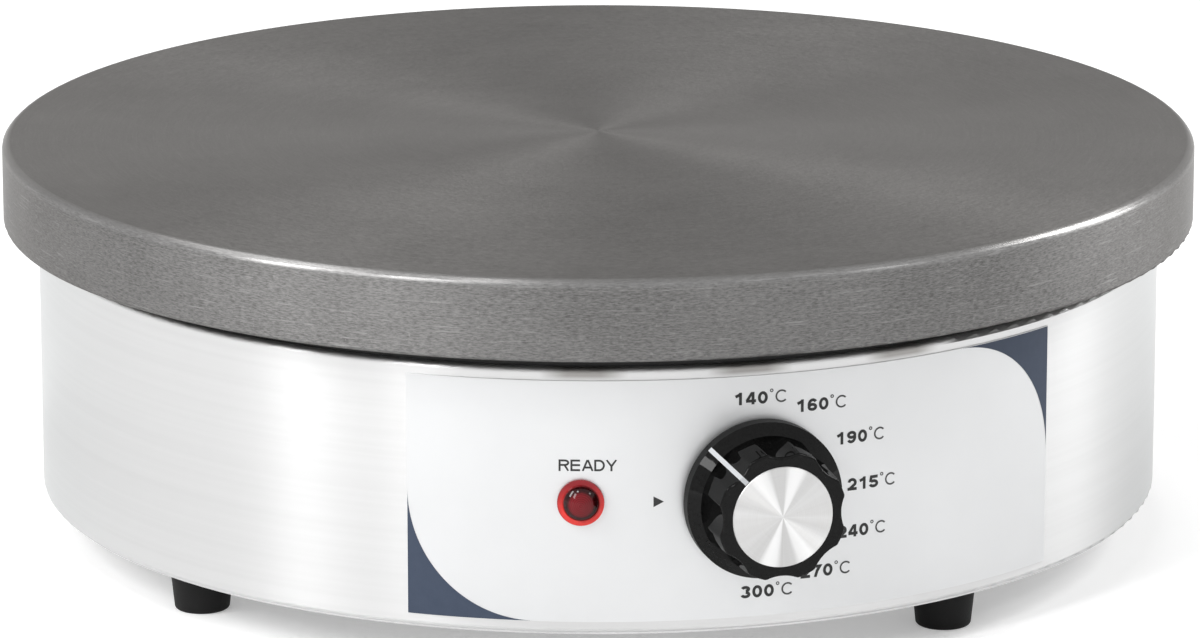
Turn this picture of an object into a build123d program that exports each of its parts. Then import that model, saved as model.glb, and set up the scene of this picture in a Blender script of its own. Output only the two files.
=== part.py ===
from build123d import *
from math import asin, cos, degrees, radians, sin, sqrt, tan
import os

# Electric crepe maker, in millimetres. The origin is on the axis of the plate, on the surface
# that the feet stand on. +Z is up and -Y is the front, where the control label is. Angles round
# the drum are in degrees from the front towards +X.

# ---------------------------------------------------------------- driving dimensions

# Cast-iron crepe plate
plate_diameter = 400.0
plate_edge_height = 26.4
plate_rim_width = 22.0
plate_web = 11.0
plate_top_chamfer = 1.6
plate_top_fillet = 1.5
plate_edge_fillet = 1.2
boss_radius = 13.0
boss_gap = 11.0
stud_angles = [45, 135, 225, 315]
stud_thread_depth = 12.0

# Drum of stainless sheet
plate_overhang = 11.7
drum_height = 86.4
drum_wall = 1.0
top_flange = 12.0
bottom_flange = 28.0
drum_bend = 1.6
seam_angle = 205.0
seam_gap = 0.5
seam_lap = 16.0

# Base plate, feet and gasket
base_thickness = 0.8
base_inset = 2.0
vent_length = 34.0
vent_width = 4.0
vent_circle_radius = 112.0
vents_per_fan = 9
vent_pitch = 7.0
foot_height = 14.2
foot_top_radius = 10.4
foot_bottom_radius = 8.9
foot_edge_fillet = 1.2
foot_inset = 17.8
foot_names = {"front_right": 25.2, "back_right": 115.2, "back_left": 205.2, "front_left": 295.2}
foot_counterbore_depth = 5.0
gasket_height = 5.0
gasket_width = 6.0
gasket_inset = 2.8

# Control label and what it carries
label_thickness = 0.4
label_half_angle = 34.25
label_margin = 3.9
shaft_hole_radius = 10.0
lamp_arc = -57.0

# Knob, measured outwards from the drum surface on the knob's axis
skirt_radius = 25.4
skirt_back = 1.3
skirt_edge = 5.6
skirt_front = 8.6
skirt_slope_radius = 21.8
knob_height = 24.7
grip_top_radius = 20.9
grip_taper = 3.2
flute_count = 8
flute_depth = 1.7
flute_radius = 12.8
flute_corner = 1.6
knob_top_fillet = 0.8
cap_radius = 16.2
cap_thickness = 1.0
cap_proud = 0.2
knob_wall = 3.0
knob_rib_thickness = 1.5
skirt_wall = 2.4
skirt_roof = 1.6
pointer_width = 1.5
pointer_depth = 0.5
pointer_proud = 0.05
pointer_angle = 135.0
hub_radius = 6.5
shaft_insertion = 17.0

# Thermostat
shaft_radius = 3.0
shaft_flat = 1.6
shaft_cam_radius = 5.5
shaft_cam_thickness = 3.0
shaft_cam_gap = 1.0
shaft_tail = 2.0
shaft_round_run = 3.0
shaft_end_gap = 0.75
running_clearance = 0.05
bracket_standoff = 3.0
bracket_thickness = 1.5
bracket_height = 44.0
bracket_overlap_angle = 1.0
frame_width = 46.0
frame_height = 40.0
frame_thickness = 1.2
bush_radius = 5.0
bush_nut_flats = 14.0
bush_nut_thickness = 3.0
bush_end = 1.0
body_width = 42.0
body_height = 36.0
body_depth = 24.0
body_corner = 2.0
cam_pocket_radius = 7.0
cam_pocket_depth = 9.0
blade_width = 6.3
blade_thickness = 0.8
blade_length = 8.0
blade_column = 12.0
blade_rise = 7.8
blade_fall = 8.2

# Heating element, its clamp, insulation and shield
element_radius = 4.0
element_gap = 6.0
spiral_half_turns = 5
spiral_steps_to_stud = 7.7
cold_end_bend = 12.0
cold_end_hole_radius = 9.5
cold_end_hole_shift = 3.0
bush_clearance = 0.5
bush_flange = 3.0
bush_rise = 5.0
bush_tail = 1.0
terminal_pin_radius = 2.0
clamp_plate_thickness = 2.0
insulation_thickness = 16.8
shield_gap = 6.3
shield_thickness = 1.0
shield_rim = 10.0
bulb_radius = 3.0
bulb_length = 60.0
capillary_radius = 1.0
capillary_run = 20.0
capillary_clearance = 2.0
capillary_tail = 6.0
capillary_inset = 3.0
clip_gap = 0.1
clip_thickness = 1.0
clip_width = 12.0
clip_flange = 7.0

# Brackets that carry the plate
support_width = 30.0
support_thickness = 3.0
support_overhang = 14.0
support_leg = 34.0

# Safety cut-out on the shield
cutout_at = (-70.0, -40.0)
cutout_radius = 8.0
cutout_height = 10.0
cutout_ear = 12.0
cutout_plate = 1.0
cutout_margin = 0.5
cutout_post_radius = 6.0

# Pilot lamp, measured outwards from the drum surface
lamp_body_radius = 6.0
lamp_body_length = 22.0
lamp_wall = 1.6
lens_flange_radius = 7.4
lens_flange_thickness = 1.2
lens_dome_radius = 5.9
lens_dome_height = 3.4
lens_wall = 1.2
lamp_nut_radius = 9.0
lamp_nut_thickness = 3.0
neon_radius = 3.0
neon_length = 14.0
neon_end_fillet = 2.4

# Cord gland
gland_rise = 25.0
gland_radius = 8.0
gland_flats = 22.0
gland_flange = 5.0
gland_neck = 11.0
gland_bore = 6.6
gland_inner_length = 12.0
gland_thread_step = 1.0
cord_radius = 4.75
seal_length = 10.0
dome_nut_length = 17.0
dome_nut_lip = 3.0
dome_nut_gap = 0.6
dome_flute_radius = 1.4
dome_flute_count = 12
locknut_flats = 20.0
locknut_thickness = 4.0

# Terminal block, earth stud and leads
block_pole_pitch = 12.0
block_pole_count = 4
block_first_pole = 34.0
block_setback = 70.3
block_depth = 18.0
block_height = 18.0
block_wire_height = 9.0
block_wire_depth = 4.0
block_screw_depth = 6.0
block_screw_recess = 2.0
block_screw_slot = 0.8
earth_stud_side = -40.0
earth_stud_setback = 53.3
earth_stud_radius = 2.5
earth_stud_height = 14.0
earth_nut_flats = 8.0
earth_nut_height = 4.0
earth_tag_thickness = 1.0
earth_tag_radius = 5.5
earth_tag_length = 11.0
earth_tag_width = 4.0
lead_radius = 1.5
lead_arc_share = 0.45
lead_on_tag_share = 0.6
lead_drop = 14.0
lead_start_run = 8.0
lead_blade_run = 16.0
lamp_lead_run = 14.0
lamp_long_lead_run = 18.0

# Fasteners
m4_radius = 2.0
m4_head_radius = 3.5
m4_head_height = 2.6
m4_nut_flats = 7.0
m4_nut_height = 3.2
m4_washer_radius = 4.5
m4_washer_thickness = 0.8
m8_radius = 4.0
m8_nut_flats = 13.0
m8_nut_height = 6.5
m8_washer_radius = 8.0
m8_washer_thickness = 1.6
thread_end = 1.5
fastener_clearance = 0.1
hole_clearance = 0.2
wall_seat_gap = 0.05
merge_overlap = 1.0

# ---------------------------------------------------------------- derived levels and radii

plate_radius = plate_diameter / 2
drum_radius = plate_radius - plate_overhang
drum_inside = drum_radius - drum_wall
base_bottom = foot_height
drum_bottom = base_bottom + base_thickness
drum_top = drum_bottom + drum_height
plate_bottom = drum_top + gasket_height
plate_top = plate_bottom + plate_edge_height
web_bottom = plate_top - plate_web
control_height = drum_bottom + drum_height / 2
label_radius = drum_radius + label_thickness
element_level = web_bottom - element_radius
clamp_top = element_level - element_radius
clamp_bottom = clamp_top - clamp_plate_thickness
insulation_bottom = clamp_bottom - insulation_thickness
shield_bottom = insulation_bottom - shield_thickness
support_bottom = shield_bottom - support_thickness
lead_level = shield_bottom - lead_drop
lamp_angle = degrees(lamp_arc / label_radius)
bracket_end_angle = -lamp_angle - degrees((lamp_nut_radius + bracket_standoff) / drum_inside)
base_radius = drum_radius - base_inset
gasket_outer = drum_radius - gasket_inset
shaft_tip = skirt_back + shaft_insertion
stud_circle_radius = plate_radius - plate_rim_width - boss_gap - boss_radius
foot_circle_radius = drum_radius - foot_inset
shield_radius = drum_radius - top_flange - shield_gap
support_inner_radius = stud_circle_radius - support_overhang
gland_height = drum_bottom + gland_rise
block_front = drum_radius - block_setback
earth_stud_at = (earth_stud_side, drum_radius - earth_stud_setback)


# ---------------------------------------------------------------- building helpers

def polar(radius, angle, height=0.0):
    """Point at a radius and an angle from the front."""
    turn = radians(angle)
    return Vector(radius * sin(turn), -radius * cos(turn), height)


def rod(radius, bottom, top, at=(0, 0)):
    """Cylinder along Z between two levels."""
    low = (Align.CENTER, Align.CENTER, Align.MIN)
    return Pos(at[0], at[1], bottom) * Cylinder(radius, top - bottom, align=low)


def sleeve(outer, inner, bottom, top, at=(0, 0)):
    """Round tube along Z between two levels."""
    return rod(outer, bottom, top, at) - rod(inner, bottom, top, at)


def block(low, high):
    """Box between two corners."""
    size = [high[i] - low[i] for i in range(3)]
    middle = [(high[i] + low[i]) / 2 for i in range(3)]
    return Pos(*middle) * Box(*size)


def hexagon(across_flats, bottom, top, at=(0, 0)):
    """Hexagonal prism along Z."""
    outline = RegularPolygon(across_flats / 2, 6, major_radius=False)
    return Pos(at[0], at[1], bottom) * extrude(outline, amount=top - bottom)


def nut(across_flats, bore, bottom, top, at=(0, 0)):
    return hexagon(across_flats, bottom, top, at) - rod(bore, bottom, top, at)


def wall_strip(inner, outer, first, last, bottom, top):
    """Piece of an upright round wall between two angles from the front."""
    middle = (first + last) / 2
    edges = [
        ThreePointArc(polar(outer, first), polar(outer, middle), polar(outer, last)),
        Line(polar(outer, last), polar(inner, last)),
        ThreePointArc(polar(inner, last), polar(inner, middle), polar(inner, first)),
        Line(polar(inner, first), polar(outer, first)),
    ]
    return Pos(0, 0, bottom) * extrude(make_face(edges), amount=top - bottom, dir=(0, 0, 1))


def wall_frame(angle, height):
    """Plane on the drum's outer surface: x to the right, y up and z outwards."""
    return Plane(
        origin=polar(drum_radius, angle, height),
        x_dir=(cos(radians(angle)), sin(radians(angle)), 0),
        z_dir=(sin(radians(angle)), -cos(radians(angle)), 0),
    )


def turned(points):
    """Solid turned about Z from an outline of (radius, height) points."""
    outline = Polyline(*[(r, 0, h) for r, h in points], close=True)
    return revolve(make_face(outline), axis=Axis.Z)


def group(solids):
    """Several separate solids in one node."""
    return Compound(children=list(solids))


def lead(points, radius, name):
    """Round lead along straight runs joined by tangent arcs as large as the runs allow."""
    points = [Vector(*point) for point in points]
    runs = [(b - a).length for a, b in zip(points, points[1:])]
    radii = []
    for i in range(1, len(points) - 1):
        turn = (points[i] - points[i - 1]).get_angle(points[i + 1] - points[i])
        radii.append(lead_arc_share * min(runs[i - 1], runs[i]) / tan(radians(turn / 2)))
    path = FilletPolyline(*points, radius=radii)
    section = Plane(origin=path @ 0, z_dir=path % 0) * Circle(radius)
    solid = sweep(section, path=path)
    error = solid.volume / (section.area * path.length) - 1
    print(f"{name}: arcs {min(radii):.1f} to {max(radii):.1f} mm, volume error {error:.5f}")
    return solid


control_frame = wall_frame(0, control_height)
lamp_frame = wall_frame(lamp_angle, control_height)
gland_frame = wall_frame(180, gland_height)
stud_points = [polar(stud_circle_radius, angle) for angle in stud_angles]

# ---------------------------------------------------------------- crepe plate and gasket

boss_bottom = plate_bottom
clamp_boss_bottom = clamp_top


def crepe_plate():
    """Flat griddle disc with a deep rim, four bosses for studs and one for the clamp bolt."""
    disc = rod(plate_radius, plate_bottom, plate_top)
    disc = chamfer(disc.edges().group_by(Axis.Z)[-1], plate_top_chamfer)
    levels = disc.edges().filter_by(GeomType.CIRCLE).group_by(Axis.Z)
    disc = fillet(levels[-1] + levels[-2], plate_top_fillet)
    disc = fillet(disc.edges().group_by(Axis.Z)[0], plate_edge_fillet)
    disc -= rod(plate_radius - plate_rim_width, plate_bottom, web_bottom)
    hole = m8_radius + fastener_clearance
    for point in stud_points:
        at = (point.X, point.Y)
        disc += rod(boss_radius, boss_bottom, web_bottom, at)
        disc -= rod(hole, boss_bottom, boss_bottom + stud_thread_depth + thread_end, at)
    disc += rod(boss_radius, clamp_boss_bottom, web_bottom)
    disc -= rod(hole, clamp_boss_bottom, clamp_boss_bottom + stud_thread_depth)
    return disc


def plate_gasket():
    return sleeve(gasket_outer, gasket_outer - gasket_width, drum_top, plate_bottom)


# ---------------------------------------------------------------- drum

def drum_shell():
    """Round sheet wall with an inward flange at both ends and a lapped seam."""
    shell = rod(drum_radius, drum_bottom, drum_top)
    shell = fillet(shell.edges().filter_by(GeomType.CIRCLE), drum_bend)
    hollow = rod(drum_inside, drum_bottom + drum_wall, drum_top - drum_wall)
    shell -= fillet(hollow.edges().filter_by(GeomType.CIRCLE), drum_bend - drum_wall)
    shell -= rod(drum_radius - top_flange, drum_top - drum_wall, drum_top)
    shell -= rod(drum_radius - bottom_flange, drum_bottom, drum_bottom + drum_wall)
    half_gap = degrees(seam_gap / 2 / drum_radius)
    half_lap = degrees(seam_lap / 2 / drum_radius)
    shell -= wall_strip(drum_inside - drum_bend, drum_radius + drum_wall, seam_angle - half_gap,
                        seam_angle + half_gap, drum_bottom + drum_bend, drum_top - drum_bend)
    shell += wall_strip(drum_inside - drum_wall, drum_inside, seam_angle - half_lap,
                        seam_angle + half_lap, drum_bottom + drum_wall, drum_top - drum_wall)
    shell -= control_frame * rod(shaft_hole_radius, -bracket_standoff, drum_wall)
    shell -= lamp_frame * rod(lamp_body_radius + hole_clearance, -bracket_standoff, drum_wall)
    shell -= gland_frame * rod(gland_radius + fastener_clearance, -bracket_standoff, drum_wall)
    for angle in foot_names.values():
        point = polar(foot_circle_radius, angle)
        at = (point.X, point.Y)
        shell -= rod(m4_radius + fastener_clearance, drum_bottom, drum_bottom + drum_wall, at)
    return shell


def control_label():
    """Thin label that follows the drum, with holes for the shaft and the lamp."""
    label = wall_strip(drum_radius, label_radius, -label_half_angle, label_half_angle,
                       drum_bottom + label_margin, drum_top - label_margin)
    label -= control_frame * rod(shaft_hole_radius, -drum_wall, drum_wall)
    label -= lamp_frame * rod(lamp_body_radius + hole_clearance, -drum_wall, drum_wall)
    return label


# ---------------------------------------------------------------- base plate and feet

def vent_slots():
    """Two fans of parallel slots, left and right of the middle."""
    slot = SlotOverall(vent_length, vent_width)
    row = [-(vents_per_fan - 1) / 2 * vent_pitch + i * vent_pitch for i in range(vents_per_fan)]
    places = [Pos(side * vent_circle_radius, y, base_bottom) for side in (-1, 1) for y in row]
    return [place * extrude(slot, amount=base_thickness) for place in places]


def base_plate():
    """Round cover under the drum, held by the foot screws."""
    plate = rod(base_radius, base_bottom, drum_bottom)
    for slot in vent_slots():
        plate -= slot
    for angle in foot_names.values():
        point = polar(foot_circle_radius, angle)
        plate -= rod(m4_radius + fastener_clearance, base_bottom, drum_bottom, (point.X, point.Y))
    plate -= rod(earth_stud_radius, base_bottom, drum_bottom, earth_stud_at)
    return plate


def rubber_foot(angle):
    """Slightly tapered foot with a counterbore for its screw."""
    point = polar(foot_circle_radius, angle)
    foot = Cone(foot_bottom_radius, foot_top_radius, foot_height,
                align=(Align.CENTER, Align.CENTER, Align.MIN))
    foot = fillet(foot.edges().group_by(Axis.Z)[0], foot_edge_fillet)
    foot -= rod(m4_washer_radius + hole_clearance, 0, foot_counterbore_depth)
    foot -= rod(m4_radius + fastener_clearance, foot_counterbore_depth, foot_height)
    return Pos(point.X, point.Y, 0) * foot


def foot_screw(at):
    """Pan-head screw from the foot's counterbore up through the drum flange."""
    seat = foot_counterbore_depth - m4_washer_thickness
    nut_top = drum_bottom + drum_wall + m4_nut_height
    head = rod(m4_head_radius, seat - m4_head_height, seat, at)
    return head + rod(m4_radius, seat, nut_top + thread_end, at)


def foot_washer(at):
    bottom = foot_counterbore_depth - m4_washer_thickness
    return sleeve(m4_washer_radius, m4_radius + fastener_clearance, bottom,
                  foot_counterbore_depth, at)


def foot_nut(at):
    bottom = drum_bottom + drum_wall
    return nut(m4_nut_flats, m4_radius + fastener_clearance, bottom, bottom + m4_nut_height, at)


# ---------------------------------------------------------------- carrying the plate

stud_top = boss_bottom + stud_thread_depth
stud_nut_top = support_bottom - m8_washer_thickness
stud_bottom = stud_nut_top - m8_nut_height - thread_end


def plate_stud(at):
    return rod(m8_radius, stud_bottom, stud_top, at)


def stud_spacer(at):
    return sleeve(m8_washer_radius, m8_radius + fastener_clearance, insulation_bottom,
                  boss_bottom, at)


def stud_washer(at):
    return sleeve(m8_washer_radius, m8_radius + fastener_clearance, stud_nut_top,
                  support_bottom, at)


def stud_nut(at):
    return nut(m8_nut_flats, m8_radius + fastener_clearance, stud_nut_top - m8_nut_height,
               stud_nut_top, at)


def support_bracket(angle):
    """Shelf under the heat shield with a leg down the drum wall."""
    shelf = block((-support_width / 2, -drum_radius, support_bottom),
                  (support_width / 2, -support_inner_radius, shield_bottom))
    shelf &= rod(drum_inside, support_bottom, shield_bottom)
    half_angle = degrees(asin(support_width / 2 / drum_inside))
    leg = wall_strip(drum_inside - support_thickness, drum_inside, -half_angle, half_angle,
                     shield_bottom - support_leg, shield_bottom)
    bracket = shelf + leg
    bracket -= rod(m8_radius + fastener_clearance, support_bottom, shield_bottom,
                   (0, -stud_circle_radius))
    return Rot(0, 0, angle) * bracket


# ---------------------------------------------------------------- heating element

spiral_step = stud_circle_radius / spiral_steps_to_stud
spiral_shift = spiral_step / 2
first_boss = polar(stud_circle_radius, stud_angles[1])
first_boss_distance = (first_boss - Vector(spiral_shift, 0, 0)).length
spiral_start_radius = first_boss_distance - boss_radius - element_radius - element_gap
clamp_plate_radius = spiral_start_radius + element_radius
cold_ends = [
    Vector(spiral_shift + spiral_start_radius, -cold_end_bend),
    Vector(spiral_shift - spiral_start_radius + (spiral_half_turns - 1) * spiral_step,
           -cold_end_bend),
]
cold_end_bottom = support_bottom - element_radius
bulb_offset = 2 * spiral_step - spiral_start_radius
bulb_middle = -spiral_shift - capillary_run / 2
capillary_drop = bulb_middle + bulb_length / 2 + capillary_run
bush_outer_radius = cold_end_hole_radius - cold_end_hole_shift - bush_clearance
bush_top = insulation_bottom + bush_rise
bush_flange_bottom = shield_bottom - bush_flange
bush_bottom = bush_flange_bottom - bush_tail
terminal_bottom = lead_level - blade_thickness / 2


def spiral_path():
    """Half turns of falling radius about two centres, with each end bent down."""
    edges = []
    for k in range(spiral_half_turns):
        radius = spiral_start_radius - k * spiral_step
        side = 1 if k % 2 == 0 else -1
        centre = Vector(side * spiral_shift, 0, element_level)
        edges.append(ThreePointArc(
            centre + Vector(side * radius, 0, 0),
            centre + Vector(0, side * radius, 0),
            centre - Vector(side * radius, 0, 0),
        ))
    for index, end in enumerate(cold_ends):
        knee = cold_end_bend * sqrt(0.5)
        top = Vector(end.X, 0, element_level)
        middle = Vector(end.X, -knee, element_level - cold_end_bend + knee)
        low = Vector(end.X, -cold_end_bend, element_level - cold_end_bend)
        foot = Vector(end.X, -cold_end_bend, cold_end_bottom)
        bend = ThreePointArc(low, middle, top) if index == 0 else ThreePointArc(top, middle, low)
        drop = Line(foot, low) if index == 0 else Line(low, foot)
        edges = [drop, bend] + edges if index == 0 else edges + [bend, drop]
    return Wire(edges)


def heating_element():
    path = spiral_path()
    section = Plane(origin=path @ 0, z_dir=path % 0) * Circle(element_radius)
    return sweep(section, path=path)


def cold_end_holes(bottom, top):
    """Clearance where the two cold ends bend down."""
    places = [(end.X, end.Y + cold_end_hole_shift) for end in cold_ends]
    return [rod(cold_end_hole_radius, bottom, top, at) for at in places]


def capillary_hole(bottom, top):
    at = (capillary_drop, bulb_offset)
    return rod(capillary_radius + capillary_clearance, bottom, top, at)


def element_clamp_plate():
    """Disc that presses the spiral on the plate."""
    disc = rod(clamp_plate_radius, clamp_bottom, clamp_top)
    for hole in cold_end_holes(clamp_bottom, clamp_top):
        disc -= hole
    disc -= capillary_hole(clamp_bottom, clamp_top)
    disc -= rod(m8_radius + fastener_clearance, clamp_bottom, clamp_top)
    return disc


def clamp_bolt():
    """Flanged hexagon bolt in the middle boss."""
    seat = clamp_bottom - m8_washer_thickness
    head = hexagon(m8_nut_flats, seat - m8_nut_height + thread_end, seat)
    head += rod(m8_washer_radius, seat, clamp_bottom)
    return head + rod(m8_radius, seat, clamp_boss_bottom + stud_thread_depth - thread_end)


def insulation_disc():
    """Ceramic-fibre disc between the clamp plate and the heat shield."""
    disc = rod(shield_radius - shield_thickness, insulation_bottom, clamp_bottom)
    for point in stud_points:
        disc -= rod(boss_radius + thread_end, insulation_bottom, clamp_bottom,
                    (point.X, point.Y))
    for hole in cold_end_holes(insulation_bottom, clamp_bottom):
        disc -= hole
    disc -= capillary_hole(insulation_bottom, clamp_bottom)
    disc -= rod(m8_washer_radius + thread_end, insulation_bottom, clamp_bottom)
    return disc


def heat_shield():
    """Shallow pan that holds the insulation."""
    pan = rod(shield_radius, shield_bottom, insulation_bottom + shield_rim)
    pan -= rod(shield_radius - shield_thickness, insulation_bottom,
               insulation_bottom + shield_rim)
    for point in stud_points:
        pan -= rod(m8_radius + fastener_clearance, shield_bottom, insulation_bottom,
                   (point.X, point.Y))
    for end in cold_ends:
        pan -= rod(bush_outer_radius, shield_bottom, insulation_bottom, (end.X, end.Y))
    pan -= capillary_hole(shield_bottom, insulation_bottom)
    for at in cutout_screw_places():
        pan -= rod(m4_radius + fastener_clearance, shield_bottom, insulation_bottom, at)
    return pan


def element_insulator(at):
    """Flanged ceramic bush round a cold end."""
    bush = rod(bush_outer_radius, bush_bottom, bush_top, at)
    bush += rod(bush_outer_radius + bush_flange, bush_flange_bottom, shield_bottom, at)
    return bush - rod(element_radius + fastener_clearance, bush_bottom, bush_top, at)


def element_terminal(end, side):
    """Pin under a cold end with a flat blade that points along Y."""
    pin = rod(terminal_pin_radius, terminal_bottom, cold_end_bottom, (end.X, end.Y))
    blade = block((end.X - blade_width / 2, -terminal_pin_radius, terminal_bottom),
                  (end.X + blade_width / 2, terminal_pin_radius + blade_length,
                   terminal_bottom + blade_thickness))
    if side < 0:
        blade = mirror(blade, about=Plane.XZ)
    return pin + Pos(0, end.Y, 0) * blade


# ---------------------------------------------------------------- sensing bulb and capillary

bulb_level = web_bottom - bulb_radius
bulb_start = bulb_middle - bulb_length / 2
bulb_end = bulb_middle + bulb_length / 2


def sensing_bulb():
    frame = Plane(origin=(bulb_start, bulb_offset, bulb_level), x_dir=(0, 1, 0), z_dir=(1, 0, 0))
    return frame * rod(bulb_radius, 0, bulb_length)


def bulb_clip():
    """Saddle that holds the bulb against the underside of the plate."""
    inner = bulb_radius + clip_gap
    outer = inner + clip_thickness
    frame = Plane(origin=(bulb_middle - clip_width / 2, bulb_offset, bulb_level),
                  x_dir=(0, 1, 0), z_dir=(1, 0, 0))
    saddle = frame * rod(outer, 0, clip_width)
    low = bulb_middle - clip_width / 2
    high = bulb_middle + clip_width / 2
    cheeks = block((low, bulb_offset - outer, bulb_level), (high, bulb_offset + outer, web_bottom))
    ears = block((low, bulb_offset - outer - clip_flange, web_bottom - clip_thickness),
                 (high, bulb_offset + outer + clip_flange, web_bottom))
    channel = block((low, bulb_offset - inner, bulb_level), (high, bulb_offset + inner, web_bottom))
    below_plate = block((low, bulb_offset - outer - clip_flange, clamp_top),
                        (high, bulb_offset + outer + clip_flange, web_bottom))
    return (saddle + cheeks + ears - frame * rod(inner, 0, clip_width) - channel) & below_plate


# ---------------------------------------------------------------- thermostat

bracket_front = -(drum_inside - bracket_standoff)
bracket_back = bracket_front + bracket_thickness
frame_back = bracket_back + frame_thickness
body_back = frame_back + body_depth
cam_front = frame_back + shaft_cam_gap
shaft_inner_end = cam_front + shaft_cam_thickness + shaft_tail


def along_y(solid, y):
    """Place a solid drawn along Z so that its Z points to the front from a given y."""
    return Plane(origin=(0, y, control_height), x_dir=(1, 0, 0), z_dir=(0, -1, 0)) * solid


def thermostat_bracket():
    """Flat plate across the drum's curve, with a wing on the wall at each side."""
    low = control_height - bracket_height / 2
    high = control_height + bracket_height / 2
    plate = block((-drum_radius / 2, bracket_front, low), (drum_radius / 2, bracket_back, high))
    plate &= rod(drum_inside, low, high)
    meets_wall = degrees(asin(sqrt(drum_inside ** 2 - bracket_front ** 2) / drum_inside))
    for side in (-1, 1):
        angles = sorted((side * (meets_wall - bracket_overlap_angle), side * bracket_end_angle))
        plate += wall_strip(drum_inside - bracket_thickness, drum_inside, *angles, low, high)
    return plate - along_y(rod(bush_radius + fastener_clearance, -bracket_thickness, 0),
                           bracket_front)


def thermostat_frame():
    """Front plate of the thermostat with its threaded bush."""
    plate = block((-frame_width / 2, bracket_back, control_height - frame_height / 2),
                  (frame_width / 2, frame_back, control_height + frame_height / 2))
    length = frame_back - bracket_front + bush_nut_thickness + bush_end
    bush = along_y(rod(bush_radius, 0, length), frame_back)
    return plate + bush - along_y(rod(shaft_radius + running_clearance, 0, length), frame_back)


def thermostat_body():
    """Switch housing behind the frame, with a pocket for the shaft's cam."""
    body = block((-body_width / 2, frame_back, control_height - body_height / 2),
                 (body_width / 2, body_back, control_height + body_height / 2))
    body = fillet(body.edges().filter_by(Axis.Y), body_corner)
    return body - along_y(rod(cam_pocket_radius, -cam_pocket_depth, 0), frame_back)


def thermostat_nut():
    ring = nut(bush_nut_flats, bush_radius + fastener_clearance, 0, bush_nut_thickness)
    return along_y(ring, bracket_front)


def thermostat_shaft():
    """Round shaft with a flat at the knob end and a cam inside the body."""
    tip = -(drum_radius + shaft_tip)
    length = shaft_inner_end - tip
    flat_length = shaft_insertion - shaft_round_run
    shaft = rod(shaft_radius, 0, length)
    shaft -= block((-shaft_radius, shaft_flat, length - flat_length),
                   (shaft_radius, shaft_radius, length))
    shaft += rod(shaft_cam_radius, shaft_tail, shaft_tail + shaft_cam_thickness)
    return along_y(Rot(0, 0, pointer_angle - 90) * shaft, shaft_inner_end)


blade_spots = [(x, z) for x in (-blade_column, blade_column) for z in (-blade_fall, blade_rise)]


def thermostat_blade(x, z):
    return block((x - blade_width / 2, body_back, control_height + z - blade_thickness / 2),
                 (x + blade_width / 2, body_back + blade_length,
                  control_height + z + blade_thickness / 2))


# ---------------------------------------------------------------- knob

grip_start = (skirt_edge + skirt_front) / 2
cap_seat = knob_height + cap_proud - cap_thickness
cavity_top = cap_seat - knob_wall
grip_base_radius = grip_top_radius + (knob_height - grip_start) * tan(radians(grip_taper))
cavity_radius = grip_top_radius - flute_depth - knob_wall


def grip_outline(radius, height):
    """Round outline with shallow flutes, one of them under the pointer."""
    outline = Circle(radius)
    centre = radius - flute_depth + flute_radius
    for k in range(flute_count):
        turn = radians(pointer_angle + k * 360 / flute_count)
        outline -= Pos(centre * cos(turn), centre * sin(turn)) * Circle(flute_radius)
    return Pos(0, 0, height) * fillet(outline.vertices(), flute_corner)


def grip():
    """Fluted grip that narrows a little towards the front."""
    ends = [grip_outline(grip_base_radius, grip_start), grip_outline(grip_top_radius, knob_height)]
    solid = loft(ends, ruled=True)
    return fillet(solid.edges().group_by(Axis.Z)[-1], knob_top_fillet)


def pointer_bar(proud, depth):
    """Bar along the pointer's radius that follows the skirt, the flute and the top."""
    flute_base = grip_base_radius - flute_depth
    flute_top = grip_top_radius - flute_depth
    slope = (skirt_front - skirt_edge) / (skirt_radius - skirt_slope_radius)
    meets = skirt_edge + slope * (skirt_radius - flute_base)
    front = [
        (skirt_radius + proud, skirt_edge + proud),
        (flute_base + proud, meets + proud),
        (flute_top + proud, knob_height + proud),
        (cap_radius + hole_clearance, knob_height + proud),
    ]
    back = [
        (cap_radius + hole_clearance, knob_height - depth),
        (flute_top - depth, knob_height - depth),
        (flute_base - depth, meets - depth),
        (skirt_radius + proud, skirt_edge - depth),
    ]
    outline = make_face(Polyline(*[(r, 0, h) for r, h in front + back], close=True))
    bar = extrude(outline, amount=pointer_width / 2, dir=(0, 1, 0), both=True)
    return Rot(0, 0, pointer_angle) * bar


def shaft_bore():
    """Hole of D section that fits the shaft."""
    radius = shaft_radius + running_clearance
    flat = shaft_flat + running_clearance
    top = shaft_tip + shaft_end_gap
    bore = rod(radius, skirt_back, top)
    bore -= block((-radius, flat, skirt_back + shaft_round_run), (radius, radius, top))
    return Rot(0, 0, pointer_angle - 90) * bore


def knob_body():
    """Moulded knob: skirt, fluted grip, hub with a D bore and four ribs."""
    knob = turned([
        (0, skirt_back), (skirt_radius, skirt_back), (skirt_radius, skirt_edge),
        (skirt_slope_radius, skirt_front), (0, skirt_front),
    ])
    knob += grip()
    knob -= rod(skirt_radius - skirt_wall, skirt_back, skirt_edge - skirt_roof)
    knob -= rod(cavity_radius, skirt_back, cavity_top)
    knob += rod(hub_radius, skirt_back + hole_clearance, cavity_top)
    half_rib = knob_rib_thickness / 2
    rib = block((hub_radius - merge_overlap, -half_rib, skirt_edge),
                (cavity_radius + merge_overlap, half_rib, cavity_top))
    for quarter in range(4):
        knob += Rot(0, 0, quarter * 90) * rib
    knob -= shaft_bore()
    knob -= rod(cap_radius + fastener_clearance, cap_seat, knob_height)
    knob -= pointer_bar(pointer_proud, pointer_depth)
    return control_frame * knob


def knob_cap():
    """Spun aluminium disc in the knob's front."""
    cap = rod(cap_radius, cap_seat, knob_height + cap_proud)
    return control_frame * chamfer(cap.edges().group_by(Axis.Z)[-1], cap_proud)


def knob_pointer():
    return control_frame * pointer_bar(pointer_proud, pointer_depth)


# ---------------------------------------------------------------- pilot lamp

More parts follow.
